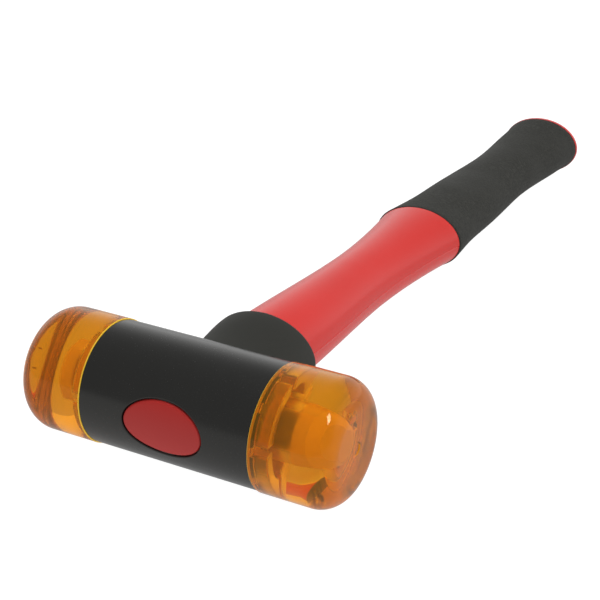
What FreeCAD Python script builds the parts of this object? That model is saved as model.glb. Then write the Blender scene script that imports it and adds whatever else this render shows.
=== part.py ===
import FreeCAD, Part

# A dead blow mallet with a steel shot canister, two screw-on faces and a fibreglass handle.
#
# Every piece is drawn about the centre of the head: X runs along the head, Y along the handle
# towards the butt, Z up. The finished model stands on z = 0 with its origin under the middle of
# its outline, so each piece carries the same offset from that origin to the head's centre.

import math
import os

import Sketcher
from FreeCAD import Placement, Rotation, Vector

MODEL_NAME = "dead_blow_mallet"
SHEET_NAME = "sizes"
SIDES = {"right": 0, "left": 180}   # the turn about Z that takes an end piece to its own end
SLOT_COUNT = 8
POCKET_COUNT = 4
HEXAGON_SIDES = 6
TENON_TRIM_ANGLE = 60               # half of the arc that shapes the tenon's end, degrees
TOLERANCE = 0.02                    # how near an edge has to be to the place looked for

# Driving dimensions in millimetres: alias, value, what it measures.
DIMENSIONS = [
    ("tube_diameter", 45.0, "outside of the head tube"),
    ("tube_wall", 2.5, "wall of the head tube"),
    ("tube_length", 67.2, "head tube, end to end"),
    ("eye_width", 31.8, "oval hole through the tube, along the head"),
    ("eye_height", 20.3, "oval hole through the tube, up and down"),
    ("eye_edge", 0.4, "rounding of the oval hole's rim"),
    ("sleeve_wall", 1.5, "wall of the oval sleeve that seals the canister"),
    ("overrun", 1.0, "how far cuts start outside a piece and blocks run into one another"),
    ("weld_gap", 0.03, "gap left between brazed steel pieces"),
    ("bond_gap", 0.03, "gap left between bonded handle pieces"),
    ("glue_thickness", 0.35, "adhesive between the oval hole and the handle"),
    ("glue_setback", 3.0, "adhesive kept back from the tube's outside"),
    ("plug_thickness", 6.5, "steel disc that closes each end of the canister"),
    ("plug_fit", 0.05, "radial gap of the disc in the tube"),
    ("plug_edge", 0.5, "chamfer on the disc's rims"),
    ("seal_section", 1.9, "section of the disc's O-ring"),
    ("seal_groove_width", 2.4, "width of the O-ring groove"),
    ("seal_groove_depth", 1.7, "depth of the O-ring groove"),
    ("ring_inset", 2.2, "retaining ring, from the tube's end"),
    ("ring_thickness", 1.2, "retaining ring along the head"),
    ("ring_bite", 0.8, "depth of the ring's groove in the tube"),
    ("ring_width", 3.0, "retaining ring, radially"),
    ("ring_play", 0.05, "gap around the ring in its groove"),
    ("ring_gap_angle", 34.0, "opening of the retaining ring, degrees"),
    ("ring_lug_radius", 2.3, "eye at each end of the retaining ring"),
    ("ring_lug_hole", 0.95, "plier hole radius in each eye"),
    ("ring_lug_angle", 20.4, "each eye, from the middle of the opening, degrees"),
    ("stud_radius", 6.95, "threaded stud, taken at its crests"),
    ("stud_reach", 10.0, "stud inside the face"),
    ("stud_flange_radius", 10.4, "shoulder of the stud on the disc"),
    ("stud_tip_chamfer", 1.2, "lead-in on the stud's tip"),
    ("stud_socket", 6.0, "hexagon socket in the tip, across flats"),
    ("stud_socket_depth", 5.0, "depth of the hexagon socket"),
    ("thread_play", 0.05, "radial gap between the stud and a threaded bore"),
    ("washer_thickness", 1.2, "washer under the face"),
    ("washer_radius", 10.2, "outside of the washer"),
    ("washer_bore_play", 0.35, "radial gap of the washer on the stud"),
    ("seat_gap", 0.05, "gap between seated faces that part when unscrewed"),
    ("face_proud", 0.4, "face beyond the tube, radially"),
    ("face_length", 28.8, "face along the head"),
    ("face_corner", 9.7, "rounding of the striking edge"),
    ("face_rear_edge", 0.35, "rounding of the face's rear rim"),
    ("face_bore_depth", 16.6, "threaded bore of the face"),
    ("bore_end_chamfer", 1.6, "cone at the blind end of the bore"),
    ("gate_radius", 2.3, "moulding gate mark in the striking face"),
    ("gate_depth", 0.35, "depth of the gate mark"),
    ("slot_rim", 4.4, "rim outside the arc slots"),
    ("slot_width", 1.6, "arc slots, radially"),
    ("slot_depth", 1.2, "arc slots along the head"),
    ("slot_angle", 35.0, "each arc slot, degrees"),
    ("slot_turn", 22.5, "first arc slot from the side of the head, degrees"),
    ("pocket_land", 0.9, "wall between arc slots and inner pockets"),
    ("pocket_depth", 6.0, "inner pockets along the head"),
    ("pocket_rib_angle", 10.0, "rib between inner pockets, degrees"),
    ("pocket_turn", 45.0, "first inner pocket from the side of the head, degrees"),
    ("pocket_floor_edge", 1.2, "rounding of the inner pockets' floor"),
    ("hub_radius", 10.6, "boss around the threaded bore"),
    ("shot_diameter", 4.4, "steel shot"),
    ("shot_pitch", 4.65, "distance between neighbouring shot"),
    ("shot_travel", 2.0, "how far the charge shifts each way"),
    ("shot_wall_gap", 0.25, "shot to the canister's walls"),
    ("shot_fill_height", 9.0, "top of the charge above the head's axis"),
    ("tenon_flush", 0.2, "handle end below the tube's outside"),
    ("tenon_edge", 0.8, "rounding of the handle's front end"),
    ("tenon_skin", 2.6, "red skin in front of the core"),
    ("core_width", 20.0, "fibreglass core, side to side"),
    ("core_height", 11.5, "fibreglass core, up and down"),
    ("core_stop", 12.0, "core ends short of the butt cap"),
    ("collar_start", 15.0, "head's axis to the collar's outline, inside the tube's outside"),
    ("collar_reach", 47.5, "head's axis to the collar's rear"),
    ("collar_edge", 0.9, "rounding of the collar's rear rim"),
    ("shaft_length", 136.5, "red shaft between collar and grip"),
    ("grip_length", 154.3, "grip sleeve"),
    ("grip_wall", 3.2, "thickness of the grip sleeve"),
    ("grip_rim", 0.7, "rounding of the grip's front rim"),
    ("cap_thickness", 2.8, "rim of the butt cap"),
    ("cap_overhang", 0.1, "butt cap beyond the grip, radially"),
    ("cap_edge", 1.3, "rounding of the butt cap"),
    ("cap_spigot", 9.0, "spigot of the butt cap in the handle"),
]

# Sections of the handle's outline: where, as a part of that piece's own length, width, height.
COLLAR_SECTIONS = [
    (0.00, 38.2, 24.6),
    (0.25, 39.8, 25.6),
    (0.58, 41.9, 28.8),
    (0.84, 43.5, 31.9),
    (1.00, 43.6, 32.6),
]
SHAFT_SECTIONS = [
    (0.00, 32.9, 31.0),
    (0.20, 32.4, 28.4),
    (0.385, 30.1, 26.4),
    (0.57, 28.7, 25.4),
    (0.75, 31.4, 25.2),
    (0.90, 35.6, 26.4),
    (1.00, 39.8, 27.3),
]
GRIP_SECTIONS = [
    (0.00, 41.2, 27.9),
    (0.14, 36.9, 26.3),
    (0.30, 35.9, 25.1),
    (0.46, 33.5, 24.2),
    (0.62, 31.2, 23.9),
    (0.75, 33.1, 24.5),
    (0.88, 36.2, 26.0),
    (1.00, 39.2, 28.1),
]
OUTLINES = {
    "collar": COLLAR_SECTIONS,
    "shaft": SHAFT_SECTIONS,
    "grip": GRIP_SECTIONS,
}

# Places and radii that follow from the driving dimensions, written as expressions.
TUBE_RADIUS = "sizes.tube_diameter / 2"
BORE_RADIUS = "(sizes.tube_diameter / 2 - sizes.tube_wall)"
FACE_RADIUS = "(sizes.tube_diameter / 2 + sizes.face_proud)"
TUBE_END = "sizes.tube_length / 2"
FACE_REAR = "(sizes.tube_length / 2 + sizes.seat_gap)"
FACE_FRONT = f"({FACE_REAR} + sizes.face_length)"
RING_OUTER_SIDE = f"({TUBE_END} - sizes.ring_inset)"
RING_INNER_SIDE = f"({RING_OUTER_SIDE} - sizes.ring_thickness)"
PLUG_OUTER_SIDE = f"({RING_INNER_SIDE} - sizes.ring_play)"
PLUG_INNER_SIDE = f"({PLUG_OUTER_SIDE} - sizes.plug_thickness)"
PLUG_RADIUS = f"({BORE_RADIUS} - sizes.plug_fit)"
WASHER_FRONT = f"({FACE_REAR} - sizes.seat_gap)"
WASHER_BACK = f"({WASHER_FRONT} - sizes.washer_thickness)"
FLANGE_FRONT = f"({WASHER_BACK} - sizes.seat_gap)"
FLANGE_BACK = f"({PLUG_OUTER_SIDE} + sizes.weld_gap)"
STUD_TIP = f"({FACE_REAR} + sizes.stud_reach)"
THREAD_RADIUS = "(sizes.stud_radius + sizes.thread_play)"
SLOT_OUTER = f"({FACE_RADIUS} - sizes.slot_rim)"
SLOT_INNER = f"({SLOT_OUTER} - sizes.slot_width)"
POCKET_OUTER = f"({SLOT_INNER} - sizes.pocket_land)"
TENON_WIDTH = "(sizes.eye_width - 2 * sizes.glue_thickness)"
TENON_HEIGHT = "(sizes.eye_height - 2 * sizes.glue_thickness)"
GRIP_START = "(sizes.collar_reach + sizes.shaft_length)"
GRIP_END = f"({GRIP_START} + sizes.grip_length)"
HANDLE_END = f"({GRIP_END} + sizes.cap_thickness)"
HEAD_BACK_OFFSET = f"-({HANDLE_END} - {FACE_RADIUS}) / 2"


def make_sheet(doc):
    """Keep every driving dimension in one spreadsheet, a row for each."""
    sheet = doc.addObject("Spreadsheet::Sheet", SHEET_NAME)
    rows = list(DIMENSIONS)
    for outline, sections in OUTLINES.items():
        for index, (along, width, height) in enumerate(sections):
            rows.append((f"{outline}_{index}_along", along, "share of its own length"))
            rows.append((f"{outline}_{index}_width", width, "section width"))
            rows.append((f"{outline}_{index}_height", height, "section height"))
    for row, (alias, value, note) in enumerate(rows, start=1):
        sheet.set(f"A{row}", alias)
        sheet.set(f"B{row}", str(value))
        sheet.set(f"C{row}", note)
        sheet.setAlias(f"B{row}", alias)
    doc.recompute()
    return sheet


def value_of(doc, expression):
    """The number that an expression on the sheet gives now."""
    return float(doc.getObject(SHEET_NAME).evalExpression(expression))


def place_at_head(doc_object, turn=0):
    """Put a piece drawn about the head's centre at its place in the model."""
    doc_object.Placement = Placement(Vector(), Rotation(Vector(0, 0, 1), turn))
    doc_object.setExpression(".Placement.Base.y", HEAD_BACK_OFFSET)
    doc_object.setExpression(".Placement.Base.z", FACE_RADIUS)


def new_body(doc, label, turn=0):
    """An empty body for one piece, already in place."""
    body = doc.addObject("PartDesign::Body", label)
    body.Label = label
    place_at_head(body, turn)
    return body


def origin_plane(body, role):
    """One of the body's own origin planes."""
    return next(item for item in body.Origin.OriginFeatures if item.Role == role)


def new_sketch(body, name, plane, offset=None):
    """A sketch on one of the body's origin planes, moved along its normal by an expression."""
    sketch = body.newObject("Sketcher::SketchObject", f"{body.Label}_{name}")
    sketch.AttachmentSupport = (origin_plane(body, plane), [""])
    sketch.MapMode = "FlatFace"
    if offset is not None:
        sketch.setExpression(".AttachmentOffset.Base.z", offset)
    return sketch


def bind(sketch, index, name, expression):
    """Name a constraint and drive it from the sheet."""
    sketch.renameConstraint(index, name)
    sketch.setExpression(f"Constraints.{name}", expression)


def add_outline(doc, sketch, points, prefix="p"):
    """A closed outline of straight lines through points given as pairs of expressions."""
    places = [Vector(value_of(doc, along), value_of(doc, across), 0) for along, across in points]
    first = sketch.GeometryCount
    count = len(places)
    for i in range(count):
        sketch.addGeometry(Part.LineSegment(places[i], places[(i + 1) % count]), False)
    for i in range(count):
        following = first + (i + 1) % count
        sketch.addConstraint(Sketcher.Constraint("Coincident", first + i, 2, following, 1))
    for i, (along, across) in enumerate(points):
        x_index = sketch.addConstraint(
            Sketcher.Constraint("DistanceX", -1, 1, first + i, 1, places[i].x)
        )
        bind(sketch, x_index, f"{prefix}{i}_along", along)
        y_index = sketch.addConstraint(
            Sketcher.Constraint("DistanceY", -1, 1, first + i, 1, places[i].y)
        )
        bind(sketch, y_index, f"{prefix}{i}_across", across)


def add_circle(doc, sketch, name, centre_x, centre_y, radius):
    """A circle whose centre and radius are expressions."""
    centre = Vector(value_of(doc, centre_x), value_of(doc, centre_y), 0)
    size = value_of(doc, radius)
    circle = sketch.addGeometry(Part.Circle(centre, Vector(0, 0, 1), size), False)
    if centre_x == "0" and centre_y == "0":
        sketch.addConstraint(Sketcher.Constraint("Coincident", circle, 3, -1, 1))
    else:
        x_index = sketch.addConstraint(
            Sketcher.Constraint("DistanceX", -1, 1, circle, 3, centre.x)
        )
        bind(sketch, x_index, f"{name}_x", centre_x)
        y_index = sketch.addConstraint(
            Sketcher.Constraint("DistanceY", -1, 1, circle, 3, centre.y)
        )
        bind(sketch, y_index, f"{name}_y", centre_y)
    index = sketch.addConstraint(Sketcher.Constraint("Radius", circle, size))
    bind(sketch, index, f"{name}_radius", radius)


def add_oval(doc, sketch, name, width, height):
    """An ellipse about the sketch's origin with its long axis across it."""
    half_width = value_of(doc, width) / 2
    half_height = value_of(doc, height) / 2
    oval = sketch.addGeometry(
        Part.Ellipse(Vector(half_width, 0, 0), Vector(0, half_height, 0), Vector()), False
    )
    sketch.exposeInternalGeometry(oval)
    long_axis = oval + 1
    short_axis = oval + 2
    sketch.addConstraint(Sketcher.Constraint("Coincident", oval, 3, -1, 1))
    sketch.addConstraint(Sketcher.Constraint("Horizontal", long_axis))
    wide = sketch.addConstraint(Sketcher.Constraint("Distance", long_axis, 2 * half_width))
    bind(sketch, wide, f"{name}_width", width)
    tall = sketch.addConstraint(Sketcher.Constraint("Distance", short_axis, 2 * half_height))
    bind(sketch, tall, f"{name}_height", height)


def add_arc_slot(doc, sketch, inner, outer, half_angle, turn):
    """A slot between two arcs about the sketch's origin, turned from its vertical axis."""
    half = math.radians(value_of(doc, half_angle))
    middle = math.pi / 2 + math.radians(value_of(doc, turn))
    radii = [value_of(doc, inner), value_of(doc, outer)]
    arcs = []
    for radius in radii:
        circle = Part.Circle(Vector(), Vector(0, 0, 1), radius)
        arcs.append(
            sketch.addGeometry(Part.ArcOfCircle(circle, middle - half, middle + half), False)
        )
    inner_arc, outer_arc = arcs
    ends = []
    for point, angle in ((1, middle - half), (2, middle + half)):
        direction = Vector(math.cos(angle), math.sin(angle), 0)
        line = sketch.addGeometry(
            Part.LineSegment(direction * radii[0], direction * radii[1]), False
        )
        sketch.addConstraint(Sketcher.Constraint("Coincident", line, 1, inner_arc, point))
        sketch.addConstraint(Sketcher.Constraint("Coincident", line, 2, outer_arc, point))
        ends.append(line)
    for name, arc, radius, size in (
        ("inner", inner_arc, inner, radii[0]),
        ("outer", outer_arc, outer, radii[1]),
    ):
        sketch.addConstraint(Sketcher.Constraint("Coincident", arc, 3, -1, 1))
        index = sketch.addConstraint(Sketcher.Constraint("Radius", arc, size))
        bind(sketch, index, f"{name}_radius", radius)
    for name, line, sign, start in (
        ("right", ends[0], "-", middle - half),
        ("left", ends[1], "+", middle + half),
    ):
        sketch.addConstraint(Sketcher.Constraint("PointOnObject", -1, 1, line))
        index = sketch.addConstraint(Sketcher.Constraint("Angle", line, start))
        bind(sketch, index, f"{name}_angle", f"90 deg + ({turn} {sign} {half_angle}) * 1 deg")


def revolve(body, name, sketch, angle=360, symmetric=False):
    """Turn a profile about the head's axis."""
    feature = body.newObject("PartDesign::Revolution", f"{body.Label}_{name}")
    feature.Profile = (sketch, [""])
    feature.ReferenceAxis = (sketch, ["H_Axis"])
    feature.Angle = angle
    if symmetric:
        feature.Midplane = True
    return feature


def groove(body, name, sketch):
    """Turn a cut about the head's axis."""
    feature = body.newObject("PartDesign::Groove", f"{body.Label}_{name}")
    feature.Profile = (sketch, [""])
    feature.ReferenceAxis = (sketch, ["H_Axis"])
    feature.Angle = 360
    return feature


def pad(body, name, sketch, length, reverse=False, symmetric=False):
    """Push a sketch out by an expression."""
    feature = body.newObject("PartDesign::Pad", f"{body.Label}_{name}")
    feature.Profile = (sketch, [""])
    feature.setExpression("Length", length)
    if symmetric:
        feature.Midplane = True
    feature.Reversed = reverse
    return feature


def pocket(body, name, sketch, length=None, reverse=False):
    """Cut a sketch in by an expression, or right through both ways where it has no length."""
    feature = body.newObject("PartDesign::Pocket", f"{body.Label}_{name}")
    feature.Profile = (sketch, [""])
    if length is None:
        feature.Midplane = True
        feature.Type = "ThroughAll"
    else:
        feature.setExpression("Length", length)
        feature.Reversed = reverse
    return feature


def polar_pattern(body, name, original, axis_sketch, count):
    """Repeat a cut evenly about the head's axis."""
    feature = body.newObject("PartDesign::PolarPattern", f"{body.Label}_{name}")
    feature.Originals = [original]
    feature.Axis = (axis_sketch, ["N_Axis"])
    feature.Angle = 360
    feature.Occurrences = count
    body.Tip = feature
    return feature


def round_edges(body, name, chosen, radius):
    """Round the edges that a test picks out of the shape so far."""
    body.Document.recompute()
    base = body.Tip
    names = [
        f"Edge{number}"
        for number, edge in enumerate(base.Shape.Edges, start=1)
        if chosen(edge)
    ]
    if not names:
        raise RuntimeError(f"{body.Label}: no edge found for {name}")
    feature = body.newObject("PartDesign::Fillet", f"{body.Label}_{name}")
    feature.Base = (base, names)
    feature.setExpression("Radius", radius)
    return feature


def is_ring(edge, along, radius):
    """True for a circle about the head's axis at this place and of this radius."""
    curve = edge.Curve
    if not isinstance(curve, Part.Circle):
        return False
    at_place = abs(curve.Center.x - along) < TOLERANCE
    return at_place and abs(curve.Radius - radius) < TOLERANCE


def lies_across_head(edge, along):
    """True for an edge that lies wholly in one plane across the head."""
    box = edge.BoundBox
    return abs(box.XMin - along) < TOLERANCE and abs(box.XMax - along) < TOLERANCE


def lies_across_handle(edge, along):
    """True for an edge that lies wholly in one plane across the handle."""
    box = edge.BoundBox
    return abs(box.YMin - along) < TOLERANCE and abs(box.YMax - along) < TOLERANCE


def distance_from_axis(edge):
    """How far the middle of an edge is from the head's axis."""
    middle = edge.valueAt((edge.FirstParameter + edge.LastParameter) / 2)
    return math.hypot(middle.y, middle.z)


def section_sketches(doc, body, outline, start, length, shrink="0"):
    """One oval sketch for each section of an outline, smaller all round by an expression."""
    sketches = []
    for index in range(len(OUTLINES[outline])):
        place = f"({start} + {length} * sizes.{outline}_{index}_along)"
        sketch = new_sketch(body, f"{outline}_{index}_{len(body.Group)}", "XZ_Plane", f"-{place}")
        width = f"sizes.{outline}_{index}_width - 2 * ({shrink})"
        height = f"sizes.{outline}_{index}_height - 2 * ({shrink})"
        add_oval(doc, sketch, "section", width, height)
        sketches.append(sketch)
    return sketches


def loft(body, name, sketches, kind="PartDesign::AdditiveLoft"):
    """One smooth skin through a row of sections."""
    feature = body.newObject(kind, f"{body.Label}_{name}")
    feature.Profile = (sketches[0], [""])
    feature.Sections = [(sketch, [""]) for sketch in sketches[1:]]
    return feature


def make_head_tube(doc):
    """The canister's tube, with the oval hole for the handle and two ring grooves."""
    body = new_body(doc, "head_tube")
    profile = new_sketch(body, "profile", "XY_Plane")
    add_outline(doc, profile, [
        (f"-{TUBE_END}", BORE_RADIUS),
        (TUBE_END, BORE_RADIUS),
        (TUBE_END, TUBE_RADIUS),
        (f"-{TUBE_END}", TUBE_RADIUS),
    ])
    revolve(body, "wall", profile)
    grooves = new_sketch(body, "ring_grooves", "XY_Plane")
    groove_radius = f"({BORE_RADIUS} + sizes.ring_bite)"
    groove_outer = f"({RING_OUTER_SIDE} + sizes.ring_play)"
    groove_inner = f"({RING_INNER_SIDE} - sizes.ring_play)"
    for prefix, sign in (("a", ""), ("b", "-")):
        add_outline(doc, grooves, [
            (f"{sign}{groove_inner}", f"{BORE_RADIUS} - sizes.overrun"),
            (f"{sign}{groove_outer}", f"{BORE_RADIUS} - sizes.overrun"),
            (f"{sign}{groove_outer}", groove_radius),
            (f"{sign}{groove_inner}", groove_radius),
        ], prefix)
    groove(body, "ring_groove_cut", grooves)
    eye = new_sketch(body, "eye", "XZ_Plane")
    add_oval(doc, eye, "eye", "sizes.eye_width", "sizes.eye_height")
    pocket(body, "eye_cut", eye)
    tube_radius = value_of(doc, TUBE_RADIUS)
    half_eye = value_of(doc, "sizes.eye_width / 2")

    def on_eye_rim(edge):
        outside = abs(distance_from_axis(edge) - tube_radius) < TOLERANCE
        reach = max(abs(edge.BoundBox.XMin), abs(edge.BoundBox.XMax))
        return outside and reach <= half_eye + TOLERANCE

    round_edges(body, "eye_rim", on_eye_rim, "sizes.eye_edge")
    return body


def trim_outside(doc, body, radius):
    """Keep only what lies inside a cylinder about the head's axis."""
    sketch = new_sketch(body, "trim", "YZ_Plane")
    add_circle(doc, sketch, "kept", "0", "0", radius)
    add_circle(doc, sketch, "beyond", "0", "0", f"{radius} + sizes.tube_diameter")
    return pocket(body, "trim_cut", sketch)


def make_eye_sleeve(doc):
    """The oval sleeve that carries the handle through the shot chamber."""
    body = new_body(doc, "eye_sleeve")
    outer = new_sketch(body, "outer", "XZ_Plane")
    add_oval(
        doc, outer, "outer",
        "sizes.eye_width + 2 * sizes.sleeve_wall", "sizes.eye_height + 2 * sizes.sleeve_wall",
    )
    pad(body, "block", outer, "sizes.tube_diameter", symmetric=True)
    inner = new_sketch(body, "inner", "XZ_Plane")
    add_oval(doc, inner, "inner", "sizes.eye_width", "sizes.eye_height")
    pocket(body, "way_through", inner)
    trim_outside(doc, body, f"({BORE_RADIUS} - sizes.weld_gap)")
    return body


def make_eye_adhesive(doc):
    """The layer of adhesive between the oval hole and the handle."""
    body = new_body(doc, "eye_adhesive")
    outer = new_sketch(body, "outer", "XZ_Plane")
    add_oval(
        doc, outer, "outer",
        "sizes.eye_width - 2 * sizes.bond_gap", "sizes.eye_height - 2 * sizes.bond_gap",
    )
    reach = "2 * (sizes.tube_diameter / 2 - sizes.glue_setback)"
    pad(body, "layer", outer, reach, symmetric=True)
    inner = new_sketch(body, "inner", "XZ_Plane")
    add_oval(
        doc, inner, "inner",
        f"{TENON_WIDTH} + 2 * sizes.bond_gap", f"{TENON_HEIGHT} + 2 * sizes.bond_gap",
    )
    pocket(body, "way_through", inner)
    return body


def make_end_plug(doc, side, turn):
    """The steel disc that closes one end of the canister, grooved for its O-ring."""
    body = new_body(doc, f"{side}_end_plug", turn)
    middle = f"({PLUG_INNER_SIDE} + sizes.plug_thickness / 2)"
    groove_low = f"({middle} - sizes.seal_groove_width / 2)"
    groove_high = f"({middle} + sizes.seal_groove_width / 2)"
    groove_floor = f"({PLUG_RADIUS} - sizes.seal_groove_depth)"
    profile = new_sketch(body, "profile", "XY_Plane")
    add_outline(doc, profile, [
        (PLUG_INNER_SIDE, THREAD_RADIUS),
        (PLUG_OUTER_SIDE, THREAD_RADIUS),
        (PLUG_OUTER_SIDE, f"{PLUG_RADIUS} - sizes.plug_edge"),
        (f"{PLUG_OUTER_SIDE} - sizes.plug_edge", PLUG_RADIUS),
        (groove_high, PLUG_RADIUS),
        (groove_high, groove_floor),
        (groove_low, groove_floor),
        (groove_low, PLUG_RADIUS),
        (f"{PLUG_INNER_SIDE} + sizes.plug_edge", PLUG_RADIUS),
        (PLUG_INNER_SIDE, f"{PLUG_RADIUS} - sizes.plug_edge"),
    ])
    revolve(body, "disc", profile)
    return body


def make_plug_seal(doc, side, turn):
    """The O-ring that keeps the shot's oil in; it bottoms in its groove."""
    body = new_body(doc, f"{side}_plug_seal", turn)
    section = new_sketch(body, "section", "XY_Plane")
    middle = f"{PLUG_INNER_SIDE} + sizes.plug_thickness / 2"
    centre = f"{PLUG_RADIUS} - sizes.seal_groove_depth + sizes.seal_section / 2"
    add_circle(doc, section, "ring", middle, centre, "sizes.seal_section / 2")
    revolve(body, "torus", section)
    return body


def make_retaining_ring(doc, side, turn):
    """The spring ring that holds the disc in, with a plier eye at each end."""
    body = new_body(doc, f"{side}_retaining_ring", turn)
    outer = f"({BORE_RADIUS} + sizes.ring_bite - sizes.ring_play)"
    inner = f"({outer} - sizes.ring_width)"
    profile = new_sketch(body, "profile", "XY_Plane")
    add_outline(doc, profile, [
        (RING_INNER_SIDE, f"-{outer}"),
        (RING_OUTER_SIDE, f"-{outer}"),
        (RING_OUTER_SIDE, f"-{inner}"),
        (RING_INNER_SIDE, f"-{inner}"),
    ])
    ring = revolve(body, "band", profile, symmetric=True)
    ring.setExpression("Angle", "360 - sizes.ring_gap_angle")
    lug_circle = f"({outer} - sizes.ring_lug_radius)"
    lugs = new_sketch(body, "lugs", "YZ_Plane", RING_INNER_SIDE)
    holes = new_sketch(body, "lug_holes", "YZ_Plane", RING_INNER_SIDE)
    for name, sign in (("upper", ""), ("lower", "-")):
        across = f"{lug_circle} * cos(sizes.ring_lug_angle * 1 deg)"
        up = f"{sign}{lug_circle} * sin(sizes.ring_lug_angle * 1 deg)"
        add_circle(doc, lugs, name, across, up, "sizes.ring_lug_radius")
        add_circle(doc, holes, name, across, up, "sizes.ring_lug_hole")
    pad(body, "lug_discs", lugs, "sizes.ring_thickness")
    pocket(body, "plier_holes", holes)
    return body


def make_face_stud(doc, side, turn):
    """The threaded stud in the disc that a face screws onto; its shoulder seats on the disc."""
    body = new_body(doc, f"{side}_face_stud", turn)
    shank = "sizes.stud_radius"
    profile = new_sketch(body, "profile", "XY_Plane")
    add_outline(doc, profile, [
        (PLUG_INNER_SIDE, "0"),
        (STUD_TIP, "0"),
        (STUD_TIP, f"{shank} - sizes.stud_tip_chamfer"),
        (f"{STUD_TIP} - sizes.stud_tip_chamfer", shank),
        (FLANGE_FRONT, shank),
        (FLANGE_FRONT, "sizes.stud_flange_radius"),
        (FLANGE_BACK, "sizes.stud_flange_radius"),
        (FLANGE_BACK, shank),
        (PLUG_INNER_SIDE, shank),
    ])
    revolve(body, "turned", profile)
    corner = "sizes.stud_socket / sqrt(3)"
    turns = [360 * i / HEXAGON_SIDES for i in range(HEXAGON_SIDES)]
    socket = new_sketch(body, "socket", "YZ_Plane", STUD_TIP)
    add_outline(doc, socket, [
        (f"{corner} * cos({turn} deg)", f"{corner} * sin({turn} deg)") for turn in turns
    ])
    pocket(body, "socket_cut", socket, "sizes.stud_socket_depth")
    return body


def make_face_washer(doc, side, turn):
    """The washer between the stud's shoulder and the face; it backs out with the face."""
    body = new_body(doc, f"{side}_face_washer", turn)
    profile = new_sketch(body, "profile", "XY_Plane")
    bore = "(sizes.stud_radius + sizes.washer_bore_play)"
    add_outline(doc, profile, [
        (WASHER_BACK, bore),
        (WASHER_FRONT, bore),
        (WASHER_FRONT, "sizes.washer_radius"),
        (WASHER_BACK, "sizes.washer_radius"),
    ])
    revolve(body, "disc", profile)
    return body


def make_face(doc, side, turn):
    """One clear striking face: a rounded puck with a threaded bore, arc slots and pockets."""
    body = new_body(doc, f"{side}_face", turn)
    bore_end = f"({FACE_REAR} + sizes.face_bore_depth)"
    profile = new_sketch(body, "profile", "XY_Plane")
    add_outline(doc, profile, [
        (bore_end, "0"),
        (f"{FACE_FRONT} - sizes.gate_depth", "0"),
        (f"{FACE_FRONT} - sizes.gate_depth", "sizes.gate_radius"),
        (FACE_FRONT, "sizes.gate_radius"),
        (FACE_FRONT, FACE_RADIUS),
        (FACE_REAR, FACE_RADIUS),
        (FACE_REAR, THREAD_RADIUS),
        (f"{bore_end} - sizes.bore_end_chamfer", THREAD_RADIUS),
        (bore_end, f"{THREAD_RADIUS} - sizes.bore_end_chamfer"),
    ])
    revolve(body, "puck", profile)
    front = value_of(doc, FACE_FRONT)
    rear = value_of(doc, FACE_REAR)
    radius = value_of(doc, FACE_RADIUS)
    round_edges(
        body, "striking_edge", lambda edge: is_ring(edge, front, radius), "sizes.face_corner"
    )
    round_edges(
        body, "rear_edge", lambda edge: is_ring(edge, rear, radius), "sizes.face_rear_edge"
    )
    slot = new_sketch(body, "slot", "YZ_Plane", FACE_REAR)
    add_arc_slot(doc, slot, SLOT_INNER, SLOT_OUTER, "sizes.slot_angle / 2", "sizes.slot_turn")
    slot_cut = pocket(body, "slot_cut", slot, "sizes.slot_depth", reverse=True)
    polar_pattern(body, "slots", slot_cut, slot, SLOT_COUNT)
    kidney = new_sketch(body, "kidney", "YZ_Plane", FACE_REAR)
    pocket_angle = f"({360 / POCKET_COUNT} - sizes.pocket_rib_angle)"
    add_arc_slot(
        doc, kidney, "sizes.hub_radius", POCKET_OUTER, f"{pocket_angle} / 2", "sizes.pocket_turn"
    )
    kidney_cut = pocket(body, "kidney_cut", kidney, "sizes.pocket_depth", reverse=True)
    polar_pattern(body, "kidneys", kidney_cut, kidney, POCKET_COUNT)
    floor = value_of(doc, f"{FACE_REAR} + sizes.pocket_depth")
    round_edges(
        body, "pocket_floors", lambda edge: lies_across_head(edge, floor),
        "sizes.pocket_floor_edge",
    )
    return body


def make_shot_charge(doc):
    """Loose steel shot at rest in the lower part of the canister, clear of every wall.

    The shot stand on a regular grid, and a place is used only where a ball there stays clear of
    the tube, the discs and the oval sleeve over the whole of the charge's travel.
    """
    radius = value_of(doc, "sizes.shot_diameter / 2")
    pitch = value_of(doc, "sizes.shot_pitch")
    gap = value_of(doc, "sizes.shot_wall_gap")
    travel = value_of(doc, "sizes.shot_travel")
    clear = radius + gap
    tube_limit = value_of(doc, BORE_RADIUS) - clear
    end_limit = value_of(doc, PLUG_INNER_SIDE) - clear - travel
    sleeve_across = value_of(doc, "sizes.eye_width / 2 + sizes.sleeve_wall") + clear
    sleeve_up = value_of(doc, "sizes.eye_height / 2 + sizes.sleeve_wall") + clear
    top = value_of(doc, "sizes.shot_fill_height")

    def is_free(place):
        inside_tube = math.hypot(place.y, place.z) <= tube_limit
        inside_ends = abs(place.x) <= end_limit
        along = max(abs(place.x) - travel, 0.0)
        outside_sleeve = math.hypot(along / sleeve_across, place.z / sleeve_up) >= 1.0
        return inside_tube and inside_ends and outside_sleeve and place.z <= top

    row_height = pitch * math.sqrt(3) / 2
    rows = int(tube_limit / row_height) + 1
    columns = int(max(tube_limit, end_limit) / pitch) + 1
    balls = []
    for row in range(-rows, rows + 1):
        stagger = pitch / 2 if row % 2 else 0.0
        for column in range(-columns, columns + 1):
            for slice_number in range(-columns, columns + 1):
                place = Vector(slice_number * pitch, column * pitch + stagger, row * row_height)
                if is_free(place):
                    balls.append(Part.makeSphere(radius, place))
    charge = doc.addObject("Part::Feature", "shot_charge")
    charge.Label = "shot_charge"
    charge.Shape = Part.makeCompound(balls)
    place_at_head(charge)
    print("shot:", len(balls))
    return charge


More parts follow.
